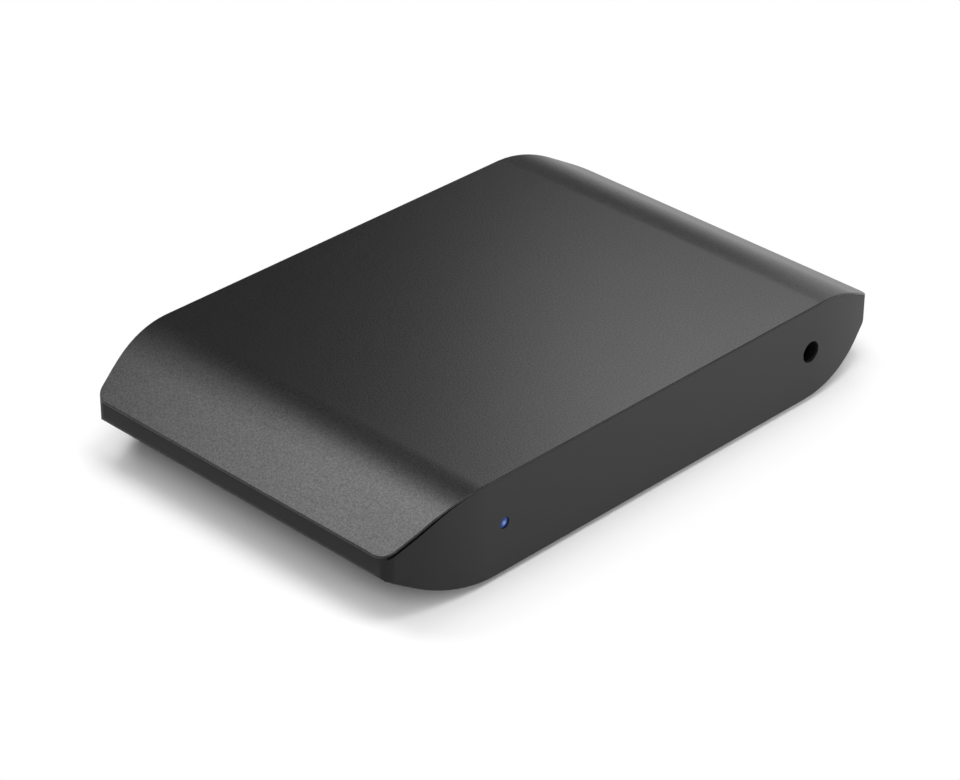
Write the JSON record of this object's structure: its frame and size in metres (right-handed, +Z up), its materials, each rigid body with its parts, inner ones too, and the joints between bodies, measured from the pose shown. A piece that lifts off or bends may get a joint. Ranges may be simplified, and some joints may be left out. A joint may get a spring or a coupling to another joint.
{
  "type": "video capture box",
  "caption": "Flat dark plastic box with rolled-down ends that takes a video signal in, passes it on and sends it to a computer, with a sound socket and a status light in front.",
  "frame": {"origin": "under the middle of the case, on the plane that the feet stand on", "axes": "+X along the length, to the right seen from the front; -Y out of the front face with the light and the sound socket; +Z up"},
  "size_m": [0.112, 0.072, 0.018],
  "materials": {
    "cover_plastic": "fine spark-eroded texture, matt",
    "tub_plastic": "smooth satin",
    "board_mask": "solder mask",
    "socket_metal": "nickel-plated sheet",
    "socket_black": "moulded",
    "contact_gold": "gold-plated",
    "led_white": "moulded",
    "light_clear": "clear moulding, lit blue",
    "chip_black": "moulded",
    "coil_grey": "sintered",
    "can_aluminium": "drawn can",
    "capacitor_tan": "fired",
    "pad_grey": "soft pad",
    "spreader_aluminium": "rolled sheet",
    "screw_steel": "zinc-plated",
    "foot_rubber": "matt"
  },
  "bodies": {
    "root": {"upper_cover": "cover_plastic", "lower_tub": "tub_plastic", "circuit_board": "board_mask", "video_in_shell": "socket_metal", "video_in_tongue": "socket_black", "video_in_contacts": "contact_gold", "video_out_shell": "socket_metal", "video_out_tongue": "socket_black", "video_out_contacts": "contact_gold", "usb_shell": "socket_metal", "usb_tongue": "socket_black", "usb_contacts": "contact_gold", "audio_jack_housing": "socket_black", "audio_jack_springs": "contact_gold", "status_led": "led_white", "light_pipe": "light_clear", "video_processor_chip": "chip_black", "video_receiver_chip": "chip_black", "usb_bridge_chip": "chip_black", "memory_chips": "chip_black", "flash_chip": "chip_black", "audio_codec_chip": "chip_black", "voltage_regulators": "chip_black", "power_inductors": "coil_grey", "bulk_capacitors": "can_aluminium", "crystals": "socket_metal", "surge_arrays": "chip_black", "filter_capacitors": "capacitor_tan", "thermal_pads": "pad_grey", "heat_spreader": "spreader_aluminium", "spreader_spacers": "screw_steel", "spreader_screws": "screw_steel", "board_screws": "screw_steel", "case_screws": "screw_steel", "rubber_foot_front_left": "foot_rubber", "rubber_foot_front_right": "foot_rubber", "rubber_foot_rear_left": "foot_rubber", "rubber_foot_rear_right": "foot_rubber"}
  },
  "joints": []
}
